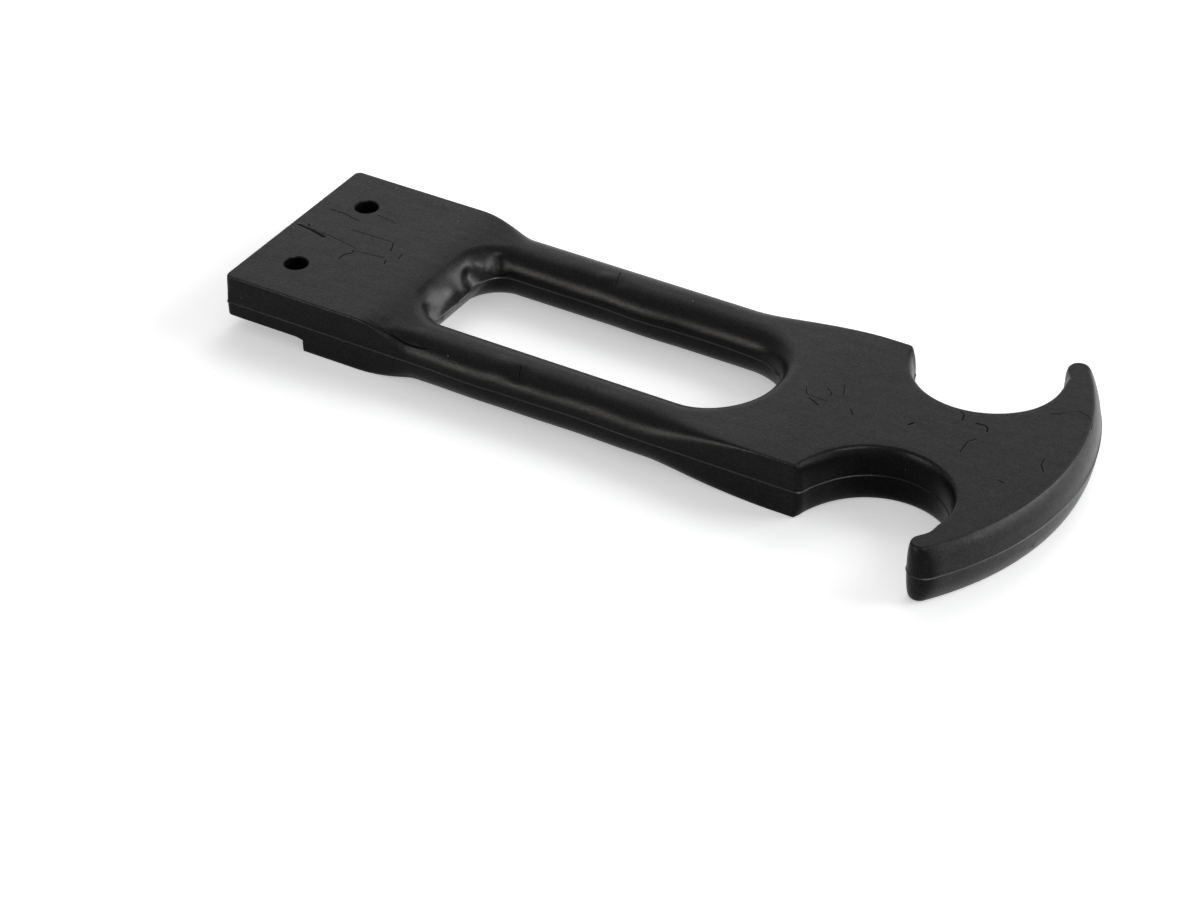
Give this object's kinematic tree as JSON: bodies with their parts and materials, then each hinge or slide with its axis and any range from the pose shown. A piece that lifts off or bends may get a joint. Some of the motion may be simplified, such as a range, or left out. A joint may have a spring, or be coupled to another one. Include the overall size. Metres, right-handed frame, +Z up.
{
  "type": "top box handle",
  "caption": "Moulded rubber pull handle of a draw latch: a drilled mounting block, a long slot between round stretch bars, and an arched finger grip behind finger notches.",
  "frame": {"origin": "midway between the fixing holes, on the face of the raised seat under the mounting end", "axes": "+X from the mounting end to the finger grip, +Y across the handle, +Z up through its thickness"},
  "size_m": [0.1603, 0.0658, 0.011],
  "materials": {
    "rubber": "fine matte moulded grain with a satin grip face"
  },
  "bodies": {
    "root": {"handle": "rubber"}
  },
  "joints": []
}
